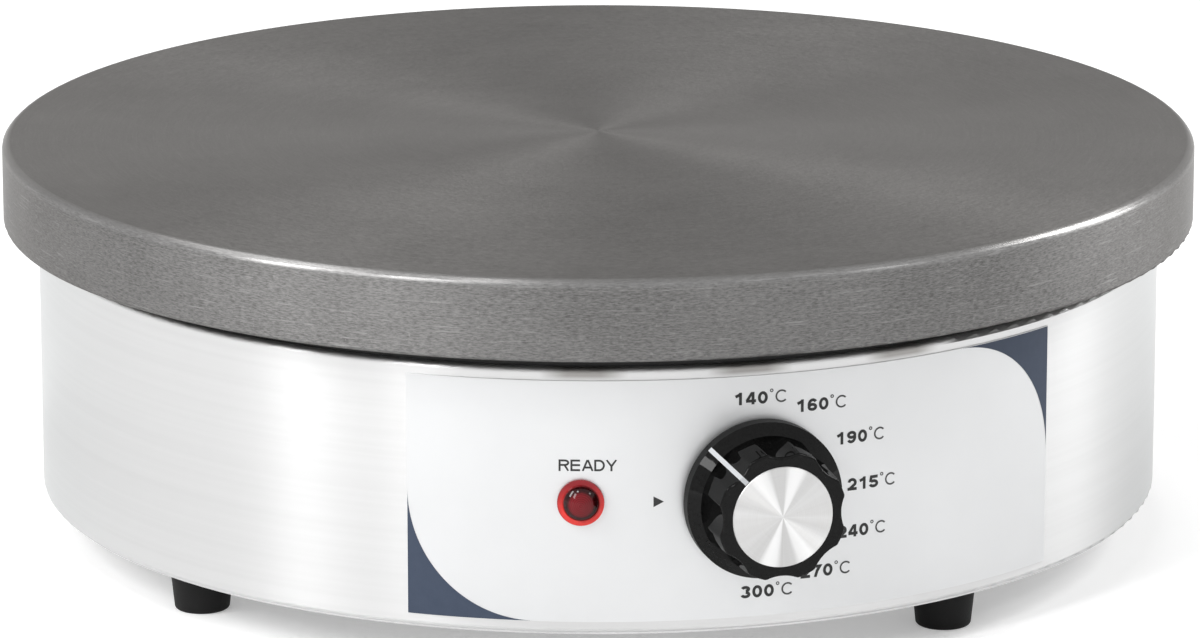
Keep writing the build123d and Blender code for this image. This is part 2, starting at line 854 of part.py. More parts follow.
lens_back = label_thickness
lens_front = lens_back + lens_flange_thickness


def lamp_lens():
    """Red lens: flange on the label and a shallow dome, hollow behind."""
    dome_ball = (lens_dome_radius ** 2 + lens_dome_height ** 2) / (2 * lens_dome_height)
    centre = lens_front + lens_dome_height - dome_ball
    lens = Pos(0, 0, centre) * Sphere(dome_ball) & rod(lens_dome_radius, lens_front,
                                                      lens_front + lens_dome_height)
    lens += rod(lens_flange_radius, lens_back, lens_front)
    hollow = Pos(0, 0, centre) * Sphere(dome_ball - lens_wall)
    hollow &= rod(lens_dome_radius - lens_wall, lens_back, lens_front + lens_dome_height)
    hollow += rod(lens_dome_radius - lens_wall, lens_back, lens_front)
    return lamp_frame * (lens - hollow)


def lamp_body():
    """Threaded tube behind the lens, closed at its back."""
    tube = rod(lamp_body_radius, -lamp_body_length, lens_back)
    tube -= rod(lamp_body_radius - lamp_wall, lamp_wall - lamp_body_length, lens_back)
    return lamp_frame * tube


def lamp_nut():
    """Ring nut against the inside of the wall."""
    sag = drum_inside - sqrt(drum_inside ** 2 - lamp_nut_radius ** 2)
    top = -drum_wall - sag - wall_seat_gap
    return lamp_frame * sleeve(lamp_nut_radius, lamp_body_radius + fastener_clearance,
                               top - lamp_nut_thickness, top)


def lamp_neon():
    bottom = lamp_wall - lamp_body_length
    bulb = rod(neon_radius, bottom, bottom + neon_length)
    bulb = fillet(bulb.edges().group_by(Axis.Z)[-1], neon_end_fillet)
    return lamp_frame * bulb


def lamp_blade(side):
    x = side * lamp_body_radius / 2
    blade = block((x - blade_thickness / 2, -blade_width / 2, -lamp_body_length - blade_length),
                  (x + blade_thickness / 2, blade_width / 2, -lamp_body_length))
    return lamp_frame * blade


# ---------------------------------------------------------------- cord gland

gland_outer = gland_flange + gland_neck
dome_start = gland_flange + dome_nut_gap
dome_end = dome_start + dome_nut_length
seal_start = gland_outer - seal_length
locknut_sag = drum_inside - sqrt(drum_inside ** 2 - (gland_flats / 2) ** 2)


def gland_body():
    """Hexagon flange outside the wall with threads both ways."""
    body = hexagon(gland_flats, 0, gland_flange)
    body += rod(gland_radius, -gland_inner_length, 0)
    body += rod(gland_radius + gland_thread_step, gland_flange, gland_outer)
    body -= rod(gland_bore, -gland_inner_length, gland_outer)
    return gland_frame * body


def gland_seal():
    """Rubber ring that grips the cord."""
    return gland_frame * sleeve(gland_bore, cord_radius, seal_start, gland_outer)


def gland_dome_nut():
    """Fluted cap nut that squeezes the seal."""
    outside = rod(gland_flats / 2, dome_start, dome_end)
    outside = fillet(outside.edges().group_by(Axis.Z)[-1], dome_nut_lip)
    outside -= rod(gland_radius + gland_thread_step + fastener_clearance, dome_start, gland_outer)
    outside -= rod(cord_radius + gland_thread_step, gland_outer, dome_end)
    flute_end = dome_end - 2 * dome_nut_lip
    for k in range(dome_flute_count):
        at = polar((gland_flats + dome_flute_radius) / 2, k * 360 / dome_flute_count)
        outside -= rod(dome_flute_radius, dome_start, flute_end, (at.X, at.Y))
    return gland_frame * outside


def gland_locknut():
    top = -drum_wall - locknut_sag - wall_seat_gap
    return gland_frame * nut(locknut_flats, gland_radius + fastener_clearance,
                             top - locknut_thickness, top)


# ---------------------------------------------------------------- safety cut-out

cutout_top = shield_bottom
cutout_reach = cutout_radius + blade_length


def cutout_screw_places():
    return [(cutout_at[0] + side * cutout_ear, cutout_at[1]) for side in (-1, 1)]


def safety_cutout():
    """Snap-disc switch on the shield with two ears and two blades along Y."""
    body = rod(cutout_radius, cutout_top - cutout_height, cutout_top, cutout_at)
    ear_radius = m4_head_radius + cutout_margin
    ears = SlotOverall(2 * (cutout_ear + ear_radius), 2 * ear_radius)
    body += Pos(*cutout_at, cutout_top - cutout_plate) * extrude(ears, amount=cutout_plate)
    for at in cutout_screw_places():
        body -= rod(m4_radius + fastener_clearance, cutout_top - cutout_plate, cutout_top, at)
    post = rod(cutout_post_radius, lead_level - blade_thickness, cutout_top - cutout_height,
               cutout_at)
    half = blade_thickness / 2
    blades = block(
        (cutout_at[0] - blade_width / 2, cutout_at[1] - cutout_reach, lead_level - half),
        (cutout_at[0] + blade_width / 2, cutout_at[1] + cutout_reach, lead_level + half))
    return body + post + blades


def cutout_screw(at):
    seat = cutout_top - cutout_plate
    head = rod(m4_head_radius, seat - m4_head_height, seat, at)
    return head + rod(m4_radius, seat, insulation_bottom, at)


# ---------------------------------------------------------------- terminal block and earth

block_poles = [block_first_pole + k * block_pole_pitch for k in range(block_pole_count)]
block_wire_level = drum_bottom + block_wire_height
block_back = block_front + block_depth


def terminal_block():
    """Row of poles, each with a wire hole at both sides and a screw hole on top."""
    left = block_poles[0] - block_pole_pitch / 2
    right = block_poles[-1] + block_pole_pitch / 2
    top = drum_bottom + block_height
    body = block((left, block_front, drum_bottom), (right, block_back, top))
    for x in block_poles:
        for y in (block_front, block_back - block_wire_depth):
            frame = Plane(origin=(x, y, block_wire_level), x_dir=(1, 0, 0), z_dir=(0, 1, 0))
            body -= frame * rod(lead_radius + hole_clearance, 0, block_wire_depth)
        middle = (x, (block_front + block_back) / 2)
        body -= rod(m4_head_radius + fastener_clearance, top - block_screw_depth, top, middle)
    return body


def block_screw(x):
    middle = (x, (block_front + block_back) / 2)
    top = drum_bottom + block_height - block_screw_recess
    low = drum_bottom + block_height - block_screw_depth
    half = block_screw_slot / 2
    slot = block((x - m4_head_radius, middle[1] - half, top - block_screw_slot),
                 (x + m4_head_radius, middle[1] + half, top))
    return rod(m4_head_radius, low, top, middle) - slot


def earth_stud():
    return rod(earth_stud_radius, base_bottom, drum_bottom + earth_stud_height, earth_stud_at)


def earth_nut():
    low = drum_bottom + earth_tag_thickness
    return nut(earth_nut_flats, earth_stud_radius + fastener_clearance, low,
               low + earth_nut_height, earth_stud_at)


# ---------------------------------------------------------------- leads

blade_high = control_height + blade_spots[1][1]
blade_low = control_height + blade_spots[0][1]
blade_tip = body_back + blade_length
terminal_reach = terminal_pin_radius + blade_length
right_end, left_end = cold_ends


def block_end(pole):
    """Where a lead leaves a pole of the terminal block, with its first straight run."""
    x = block_poles[pole]
    return [(x, block_front + block_wire_depth, block_wire_level),
            (x, block_front - lead_start_run, block_wire_level)]


def blade_end(x, level):
    """Where a lead meets a blade of the thermostat, after its last straight run."""
    return [(x, blade_tip + lead_blade_run, level), (x, blade_tip, level)]


def level_end(x, y, side):
    """Where a lead at the leads' level meets a blade that points along Y, with a straight run."""
    return [(x, y + side * lead_blade_run, lead_level), (x, y, lead_level)]


def lamp_end(side, run):
    """Inner end of a lamp blade and a point straight behind it."""
    tip = -lamp_body_length - blade_length
    x = side * lamp_body_radius / 2
    return [tuple(lamp_frame.from_local_coords(Vector(x, 0, z))) for z in (tip, tip - run)]


def routed(start, shares, end, radius, name):
    """Lead between two straight ends, past places that are given as shares of the distance
    between them: along it, to its right and up."""
    first = Vector(*start[-1])
    run = Vector(*end[0]) - first
    right = Vector(run.Y, -run.X, 0).normalized() * run.length
    up = Vector(0, 0, run.length)
    places = [tuple(first + run * a + right * b + up * c) for a, b, c in shares]
    return lead(start + places + end, radius, name)


def live_lead():
    end = level_end(cutout_at[0], cutout_at[1] + cutout_reach, 1)
    shares = [(0.119, 0.066, 0.053), (0.284, 0.217, 0.138), (0.493, 0.328, 0.157)]
    return routed(block_end(1), shares, end, lead_radius, "live_lead")


def cutout_lead():
    start = level_end(cutout_at[0], cutout_at[1] - cutout_reach, -1)[::-1]
    shares = [(0.522, 0.133, 0.039), (0.860, -0.050, 0.000)]
    return routed(start, shares, blade_end(-blade_column, blade_high), lead_radius, "cutout_lead")


def switched_lead():
    start = blade_end(blade_column, blade_high)[::-1]
    end = level_end(right_end.X, right_end.Y - terminal_reach, -1)
    shares = [(0.295, 0.021, 0.044), (0.624, 0.082, 0.034), (0.863, 0.089, 0.012)]
    return routed(start, shares, end, lead_radius, "switched_lead")


def neutral_lead():
    end = level_end(left_end.X, left_end.Y + terminal_reach, 1)
    shares = [(0.100, 0.026, 0.127), (0.295, 0.143, 0.246), (0.635, 0.130, 0.142)]
    return routed(block_end(2), shares, end, lead_radius, "neutral_lead")


def lamp_leads():
    """One lead to the thermostat and one along the floor of the drum to the block."""
    shares = [(0.347, -0.510, -0.046), (0.887, -0.348, -0.031)]
    short = routed(lamp_end(1, lamp_lead_run), shares, blade_end(-blade_column, blade_low),
                   lead_radius, "lamp lead to thermostat")
    shares = [(0.078, -0.001, -0.028), (0.149, 0.080, -0.056), (0.209, 0.207, -0.078),
              (0.279, 0.370, -0.087), (0.434, 0.436, -0.071), (0.628, 0.394, -0.047),
              (0.820, 0.296, -0.023), (0.973, 0.168, -0.003), (1.002, 0.048, 0.000)]
    long = routed(lamp_end(-1, lamp_long_lead_run), shares, block_end(3)[::-1],
                  lead_radius, "lamp lead to block")
    return group([short, long])


def earth_lead():
    """Lead to the earth stud with its ring tag."""
    x, y = earth_stud_at
    top = drum_bottom + earth_tag_thickness
    end = [(x, y - earth_tag_length + earth_tag_width, top + lead_on_tag_share * lead_radius)]
    shares = [(0.243, -0.113, -0.017), (0.632, -0.180, -0.007), (0.912, -0.140, 0.001)]
    wire = routed(block_end(0), shares, end, lead_radius, "earth_lead")
    half = earth_tag_width / 2
    tag = rod(earth_tag_radius, drum_bottom, top, (x, y))
    tag += block((x - half, y - earth_tag_length, drum_bottom), (x + half, y, top))
    tag -= rod(earth_stud_radius + fastener_clearance, drum_bottom, top, (x, y))
    return wire + tag


capillary_level = control_height + body_height / 2 - capillary_inset


def capillary_tube():
    start = [(bulb_end, bulb_offset, bulb_level), (capillary_drop, bulb_offset, bulb_level),
             (capillary_drop, bulb_offset, shield_bottom - capillary_tail)]
    end = [(0, body_back + capillary_run, capillary_level), (0, body_back, capillary_level)]
    shares = [(0.304, -0.096, 0.037), (0.705, -0.022, 0.065)]
    return routed(start, shares, end, capillary_radius, "capillary_tube")


# ---------------------------------------------------------------- nodes

stud_places = [(point.X, point.Y) for point in stud_points]
foot_points = [polar(foot_circle_radius, angle) for angle in foot_names.values()]
foot_places = [(point.X, point.Y) for point in foot_points]

nodes = {
    "crepe_plate": crepe_plate(),
    "plate_gasket": plate_gasket(),
    "drum_shell": drum_shell(),
    "control_label": control_label(),
    "base_plate": base_plate(),
    "foot_screws": group(foot_screw(at) for at in foot_places),
    "foot_washers": group(foot_washer(at) for at in foot_places),
    "foot_nuts": group(foot_nut(at) for at in foot_places),
    "plate_studs": group(plate_stud(at) for at in stud_places),
    "stud_spacers": group(stud_spacer(at) for at in stud_places),
    "stud_washers": group(stud_washer(at) for at in stud_places),
    "stud_nuts": group(stud_nut(at) for at in stud_places),
    "heating_element": heating_element(),
    "element_clamp_plate": element_clamp_plate(),
    "clamp_bolt": clamp_bolt(),
    "insulation_disc": insulation_disc(),
    "heat_shield": heat_shield(),
    "element_insulators": group(element_insulator((end.X, end.Y)) for end in cold_ends),
    "element_terminals": group([element_terminal(right_end, -1), element_terminal(left_end, 1)]),
    "sensing_bulb": sensing_bulb(),
    "bulb_clip": bulb_clip(),
    "capillary_tube": capillary_tube(),
    "thermostat_bracket": thermostat_bracket(),
    "thermostat_frame": thermostat_frame(),
    "thermostat_body": thermostat_body(),
    "thermostat_nut": thermostat_nut(),
    "thermostat_blades": group(thermostat_blade(x, z) for x, z in blade_spots),
    "thermostat_shaft": thermostat_shaft(),
    "knob_body": knob_body(),
    "knob_cap": knob_cap(),
    "knob_pointer": knob_pointer(),
    "lamp_lens": lamp_lens(),
    "lamp_body": lamp_body(),
    "lamp_nut": lamp_nut(),
    "lamp_neon": lamp_neon(),
    "lamp_blades": group(lamp_blade(side) for side in (-1, 1)),
    "gland_body": gland_body(),
    "gland_seal": gland_seal(),
    "gland_dome_nut": gland_dome_nut(),
    "gland_locknut": gland_locknut(),
    "safety_cutout": safety_cutout(),
    "cutout_screws": group(cutout_screw(at) for at in cutout_screw_places()),
    "terminal_block": terminal_block(),
    "terminal_block_screws": group(block_screw(x) for x in block_poles),
    "earth_stud": earth_stud(),
    "earth_nut": earth_nut(),
    "live_lead": live_lead(),
    "cutout_lead": cutout_lead(),
    "switched_lead": switched_lead(),
    "neutral_lead": neutral_lead(),
    "lamp_leads": lamp_leads(),
    "earth_lead": earth_lead(),
}
for name, angle in foot_names.items():
    nodes[f"rubber_foot_{name}"] = rubber_foot(angle)
for number, angle in enumerate(stud_angles, start=1):
    nodes[f"support_bracket_{number}"] = support_bracket(angle)

os.makedirs("parts", exist_ok=True)
for name, shape in nodes.items():
    export_step(shape, f"parts/{name}.step")
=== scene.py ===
from math import cos, pi, radians, sin

import bpy
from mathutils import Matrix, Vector


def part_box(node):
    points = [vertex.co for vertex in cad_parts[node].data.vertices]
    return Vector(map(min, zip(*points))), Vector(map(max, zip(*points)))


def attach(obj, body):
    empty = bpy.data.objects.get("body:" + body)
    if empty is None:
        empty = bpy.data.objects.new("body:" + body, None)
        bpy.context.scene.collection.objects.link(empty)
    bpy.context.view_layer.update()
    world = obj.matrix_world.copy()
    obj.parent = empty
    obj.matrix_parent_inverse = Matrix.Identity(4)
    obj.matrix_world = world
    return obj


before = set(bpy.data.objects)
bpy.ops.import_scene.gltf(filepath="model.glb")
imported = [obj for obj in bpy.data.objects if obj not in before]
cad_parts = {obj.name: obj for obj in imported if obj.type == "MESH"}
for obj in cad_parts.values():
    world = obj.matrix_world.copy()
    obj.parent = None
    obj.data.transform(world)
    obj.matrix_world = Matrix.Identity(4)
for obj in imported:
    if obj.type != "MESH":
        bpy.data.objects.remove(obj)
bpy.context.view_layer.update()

MM = 0.001

# Half of the angle that the label takes up round the drum.
label_half_angle = radians(34.25)

# Places on the machine, in metres, read from the solids so that the dressing follows them.
label_low, label_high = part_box("control_label")
label_radius = -label_low.y
label_half_width = label_half_angle * label_radius
label_middle = (label_low.z + label_high.z) / 2
label_half_height = (label_high.z - label_low.z) / 2
knob_low, knob_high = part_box("knob_cap")
knob_height = (knob_low.z + knob_high.z) / 2
lamp_low, lamp_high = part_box("lamp_lens")
lamp_centre = (lamp_low + lamp_high) / 2
plate_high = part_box("crepe_plate")[1]


def grey(value, warm=0.0):
    return (value * (1 + warm), value, value * (1 - warm), 1)


# ---------------------------------------------------------------- camera, light and stage

def aim(thing, place, target):
    thing.location = place
    thing.rotation_mode = "QUATERNION"
    thing.rotation_quaternion = (Vector(target) - Vector(place)).to_track_quat("-Z", "Y")


def around_object(azimuth, elevation, distance, target):
    a, e = radians(azimuth), radians(elevation)
    return Vector(target) + distance * Vector((sin(a) * cos(e), -cos(a) * cos(e), sin(e)))


def make_camera():
    azimuth, elevation, distance = -15.65, 14.906, 2.378
    target = (0.0006, 0.0, 0.0673)
    data = bpy.data.cameras.new("camera")
    data.lens, data.sensor_width = 210.57, 36.0
    data.clip_start, data.clip_end = 0.1, 30.0
    camera = bpy.data.objects.new("camera", data)
    bpy.context.collection.objects.link(camera)
    aim(camera, around_object(azimuth, elevation, distance, target), target)
    bpy.context.scene.camera = camera


def softbox(name, azimuth, elevation, width, height, power):
    """Rectangular lamp, sizes in metres and power in watts, that faces the drum."""
    distance, target = 2.2, (0, 0, 0.08)
    data = bpy.data.lights.new(name, "AREA")
    data.shape, data.size, data.size_y = "RECTANGLE", width, height
    data.energy = power
    light = bpy.data.objects.new(name, data)
    bpy.context.collection.objects.link(light)
    aim(light, around_object(azimuth, elevation, distance, target), target)


def seen_directly(tree):
    """1 for camera, mirror and glass rays, 0 for the light that falls on things."""
    path = tree.nodes.new("ShaderNodeLightPath")
    both = tree.nodes.new("ShaderNodeMath")
    both.operation = "MAXIMUM"
    tree.links.new(path.outputs["Is Camera Ray"], both.inputs[0])
    tree.links.new(path.outputs["Is Glossy Ray"], both.inputs[1])
    all_three = tree.nodes.new("ShaderNodeMath")
    all_three.operation = "MAXIMUM"
    tree.links.new(both.outputs[0], all_three.inputs[0])
    tree.links.new(path.outputs["Is Transmission Ray"], all_three.inputs[1])
    return all_three.outputs[0]


def make_world(ambient):
    """White to look at, and a dimmer white as the light that it casts."""
    world = bpy.data.worlds.new("studio")
    bpy.context.scene.world = world
    world.use_nodes = True
    world.cycles.sampling_method = "NONE"
    tree = world.node_tree
    level = tree.nodes.new("ShaderNodeMapRange")
    level.inputs["To Min"].default_value = ambient
    level.inputs["To Max"].default_value = 1.0
    tree.links.new(seen_directly(tree), level.inputs["Value"])
    tree.links.new(level.outputs[0], tree.nodes["Background"].inputs["Strength"])
    tree.nodes["Background"].inputs["Color"].default_value = (1, 1, 1, 1)


def make_floor(near_glow, far_glow):
    """White paper that takes the shadow. Its glow is only seen, and grows with the distance."""
    glow_starts, glow_ends = 0.7, 2.0
    reach = 4.0
    mesh = bpy.data.meshes.new("floor")
    corners = [(-reach, -reach, 0), (reach, -reach, 0), (reach, reach, 0), (-reach, reach, 0)]
    mesh.from_pydata(corners, [], [(0, 1, 2, 3)])
    floor = bpy.data.objects.new("floor", mesh)
    bpy.context.collection.objects.link(floor)
    material = bpy.data.materials.new("floor")
    material.use_nodes = True
    tree = material.node_tree
    tree.nodes.clear()
    paper = tree.nodes.new("ShaderNodeBsdfDiffuse")
    paper.inputs["Color"].default_value = grey(0.85)
    glow = tree.nodes.new("ShaderNodeEmission")
    place = tree.nodes.new("ShaderNodeTexCoord")
    reached = tree.nodes.new("ShaderNodeVectorMath")
    reached.operation = "LENGTH"
    tree.links.new(place.outputs["Object"], reached.inputs[0])
    rise = tree.nodes.new("ShaderNodeMapRange")
    rise.interpolation_type = "SMOOTHSTEP"
    rise.inputs["From Min"].default_value = glow_starts
    rise.inputs["From Max"].default_value = glow_ends
    rise.inputs["To Min"].default_value = near_glow
    rise.inputs["To Max"].default_value = far_glow
    tree.links.new(reached.outputs["Value"], rise.inputs["Value"])
    level = tree.nodes.new("ShaderNodeMath")
    level.operation = "MULTIPLY"
    tree.links.new(rise.outputs[0], level.inputs[1])
    tree.links.new(seen_directly(tree), level.inputs[0])
    tree.links.new(level.outputs[0], glow.inputs["Strength"])
    both = tree.nodes.new("ShaderNodeAddShader")
    tree.links.new(paper.outputs[0], both.inputs[0])
    tree.links.new(glow.outputs[0], both.inputs[1])
    out = tree.nodes.new("ShaderNodeOutputMaterial")
    tree.links.new(both.outputs[0], out.inputs["Surface"])
    mesh.materials.append(material)


# ---------------------------------------------------------------- material helpers

class Finish:
    """A Principled material with short names for the procedural nodes that it uses."""

    def __init__(self, name, **fixed):
        self.material = bpy.data.materials.new(name)
        self.material.use_nodes = True
        self.tree = self.material.node_tree
        self.tree.nodes.clear()
        self.shader = self.node("ShaderNodeBsdfPrincipled")
        out = self.node("ShaderNodeOutputMaterial")
        self.tree.links.new(self.shader.outputs[0], out.inputs["Surface"])
        self.place = self.node("ShaderNodeTexCoord").outputs["Object"]
        for socket, value in fixed.items():
            self.shader.inputs[socket.replace("_", " ")].default_value = value

    def node(self, kind, inputs=None, **settings):
        made = self.tree.nodes.new(kind)
        for key, value in settings.items():
            setattr(made, key, value)
        for key, value in (inputs or {}).items():
            self.give(made.inputs[key], value)
        return made

    def give(self, socket, value):
        if isinstance(value, bpy.types.NodeSocket):
            self.tree.links.new(value, socket)
        else:
            socket.default_value = value

    def set(self, **inputs):
        for socket, value in inputs.items():
            self.give(self.shader.inputs[socket.replace("_", " ")], value)

    def math(self, operation, a, b=0.0):
        return self.node("ShaderNodeMath", {0: a, 1: b}, operation=operation).outputs[0]

    def wound(self, centre=(0, 0, 0), axis="Z", cut=0.0, radius=1.0):
        """Coordinates round an axis: arc length, distance from the axis and place along it."""
        turn = {"Z": (0, 0, cut), "Y": (pi / 2, 0, cut)}[axis]
        moved = self.node("ShaderNodeVectorMath", {0: self.place, 1: centre},
                          operation="SUBTRACT").outputs[0]
        turned = self.node("ShaderNodeMapping", {"Vector": moved, "Rotation": turn}).outputs[0]
        parts = self.node("ShaderNodeSeparateXYZ", {0: turned}).outputs
        angle = self.math("ARCTAN2", parts["X"], self.math("MULTIPLY", parts["Y"], -1.0))
        flat = self.node("ShaderNodeVectorMath", {0: turned, 1: (1, 1, 0)},
                         operation="MULTIPLY").outputs[0]
        reach = self.node("ShaderNodeVectorMath", {0: flat}, operation="LENGTH").outputs["Value"]
        made = self.node("ShaderNodeCombineXYZ", {
            0: self.math("MULTIPLY", angle, radius), 1: reach, 2: parts["Z"]})
        return made.outputs[0]

    def noise(self, place, scale, stretch=(1, 1, 1), detail=3.0, rough=0.55):
        """Cloudy pattern from about 0.3 to 0.7, with scale as its spots per metre."""
        stretched = self.node("ShaderNodeVectorMath", {0: place, 1: stretch},
                              operation="MULTIPLY").outputs[0]
        return self.node("ShaderNodeTexNoise", {
            "Vector": stretched, "Scale": scale, "Detail": detail, "Roughness": rough,
        }).outputs["Fac"]

    def remap(self, value, low, high, start=0.3, end=0.7):
        """Takes start to end over to low to high, and holds these beyond them."""
        return self.node("ShaderNodeMapRange", {
            "Value": value, "From Min": start, "From Max": end, "To Min": low, "To Max": high,
        }).outputs[0]

    def mix(self, amount, first, second):
        made = self.node("ShaderNodeMix", data_type="RGBA")
        self.give(made.inputs[0], amount)
        self.give(made.inputs[6], first)
        self.give(made.inputs[7], second)
        return made.outputs[2]

    def bump(self, height, distance, strength=1.0, under=None):
        inputs = {"Height": height, "Distance": distance, "Strength": strength}
        if under is not None:
            inputs["Normal"] = under
        return self.node("ShaderNodeBump", inputs).outputs[0]

    def tangent(self, axis):
        return self.node("ShaderNodeTangent", direction_type="RADIAL", axis=axis).outputs[0]


def grained(name, dark, light, rough, scale, grain=0.00004, patch=25.0, **fixed):
    """Moulded, cast or coated material: cloudy colour, fine grain in bump and roughness."""
    f = Finish(name, **fixed)
    cloud = f.noise(f.place, patch, detail=4.0)
    fine = f.noise(f.place, scale, detail=2.0)
    blend = f.math("ADD", f.math("MULTIPLY", cloud, 0.6), f.math("MULTIPLY", fine, 0.4))
    f.set(Base_Color=f.mix(f.remap(blend, 0.0, 1.0), dark, light),
          Roughness=f.remap(fine, *rough), Normal=f.bump(fine, grain))
    return f.material


# ---------------------------------------------------------------- materials

def stainless():
    """Brushed round the drum, with painted dark reflection bands on its top bend at the front."""
    seam_past_back = radians(25)
    # Painted reflection: dark bands on the top bend above the label, near the front, stand in for
    # the bend's reflections and the plate's shade.
    first_painted_band, painted_band_pitch, painted_bands_middle = radians(-17), radians(16), radians(-1.5)
    painted_bands_full, painted_bands_end = radians(19), radians(25)
    painted_band_rise = 1.5 * MM
    f = Finish("stainless", Metallic=1.0, Anisotropic=0.92, Anisotropic_Rotation=0.25,
               Specular_Tint=(0.84, 0.85, 0.85, 1))
    around = f.wound(cut=seam_past_back, radius=0.19)
    streak = f.noise(around, 620.0, stretch=(0.004, 0.02, 1), detail=1.5, rough=0.5)
    cloud = f.noise(f.place, 14.0, detail=4.0)
    steel = f.mix(f.remap(streak, 0.0, 1.0), grey(0.594), grey(0.616))
    parts = f.node("ShaderNodeSeparateXYZ", {0: f.place}).outputs
    turn = f.math("ARCTAN2", parts["X"], f.math("MULTIPLY", parts["Y"], -1.0))
    past_first = f.math("SUBTRACT", turn, first_painted_band)
    wave = f.math("COSINE", f.math("MULTIPLY", past_first, 2 * pi / painted_band_pitch))
    patch = f.remap(wave, 0.0, 1.0, -0.1, 0.8)
    from_middle = f.math("ABSOLUTE", f.math("SUBTRACT", turn, painted_bands_middle))
    near_front = f.remap(from_middle, 1.0, 0.0, painted_bands_full, painted_bands_end)
    high = f.remap(parts["Z"], 0.0, 1.0, label_high.z, label_high.z + painted_band_rise)
    painted_reflection_bands = f.math("MULTIPLY", f.math("MULTIPLY", patch, near_front), high)
    # The painted dark reflection bands darken the steel's colour here.
    f.set(Base_Color=f.mix(painted_reflection_bands, steel, grey(0.30, 0.03)), Tangent=f.tangent("Z"),
          Roughness=f.math("ADD", f.remap(streak, 0.278, 0.286), f.remap(cloud, 0.0, 0.012)),
          Normal=f.bump(streak, 0.0000005))
    return f.material


def cast_iron():
    """Turned and seasoned cast iron: fine rings on top, lines and pits round the side."""
    corner = plate_high.x + plate_high.z
    f = Finish("cast_iron", Metallic=0.8, Anisotropic=0.75, Anisotropic_Rotation=0.25,
               Specular_IOR_Level=0.25, Specular_Tint=(0.62, 0.61, 0.60, 1))
    place = f.wound(radius=0.2)
    streak = f.noise(place, 700.0, stretch=(0.03, 1, 1), detail=4.0, rough=0.7)
    speck = f.noise(place, 2300.0, stretch=(0.2, 1, 1), detail=3.0, rough=0.7)
    cloud = f.noise(f.place, 18.0, detail=5.0, rough=0.6)
    scratch = f.noise(place, 1100.0, stretch=(0.05, 1, 1), detail=2.0, rough=0.5)
    pit = f.remap(f.noise(f.place, 650.0, detail=1.0), 0.0, 0.7, 0.70, 0.78)
    bare = f.math("MAXIMUM", pit, f.remap(scratch, 0.0, 1.0, 0.62, 0.70))
    parts = f.node("ShaderNodeSeparateXYZ", {0: place}).outputs
    rim = f.math("ADD", parts["Y"], parts["Z"])
    # Mask for the chamfer rim, lightened partly as bare worn metal and partly as a painted
    # highlight.
    edge = f.remap(rim, 0.0, 1.0, corner - 2.8 * MM, corner - 1.4 * MM)
    tone = f.math("ADD", f.remap(streak, -0.02, 0.02), f.remap(speck, -0.11, 0.11))
    tone = f.remap(f.math("ADD", tone, f.remap(cloud, -0.03, 0.03)), 0.0, 1.0, -0.12, 0.12)
    # The side's greys run lighter than the top's; part of that lift is a painted sheen for the
    # side's highlights.
    top = f.mix(tone, grey(0.078, 0.028), grey(0.160, 0.028))
    side = f.mix(tone, grey(0.090, 0.020), grey(0.250, 0.014))
    outside = f.remap(parts["Y"], 0.0, 1.0, plate_high.x - 1.2 * MM, plate_high.x - 0.2 * MM)
    body = f.mix(outside, top, side)
    # Rim lightened as bare worn metal and as a painted highlight.
    worn_and_painted_highlight = f.mix(f.math("MULTIPLY", edge, 0.35), body, grey(0.36, 0.005))
    shown = f.remap(outside, 0.06, 0.42, 0.0, 1.0)
    colour = f.mix(f.math("MULTIPLY", bare, shown), worn_and_painted_highlight, grey(0.34, 0.01))
    rough = f.math("SUBTRACT", f.remap(speck, 0.38, 0.48), f.math("MULTIPLY", edge, 0.12))
    f.set(Base_Color=colour, Roughness=rough, Tangent=f.tangent("Z"),
          Normal=f.bump(speck, 0.00004, 0.6, under=f.bump(streak, 0.00002, 0.8)))
    return f.material


def label_silver():
    """Satin silver film."""
    f = Finish("label_silver", Metallic=0.55, Specular_IOR_Level=0.5)
    fine = f.noise(f.place, 2600.0, detail=2.0)
    cloud = f.noise(f.place, 20.0, detail=3.0)
    f.set(Base_Color=f.mix(f.remap(cloud, 0.0, 1.0), grey(0.69, -0.008), grey(0.72, -0.008)),
          Roughness=f.remap(fine, 0.33, 0.39), Normal=f.bump(fine, 0.000004))
    return f.material


def print_ink(name, dark, light):
    """Screen-printed ink, nearly matt."""
    return grained(name, dark, light, (0.38, 0.48), 3000.0, grain=0.000003, patch=300.0,
                   Specular_IOR_Level=0.2)


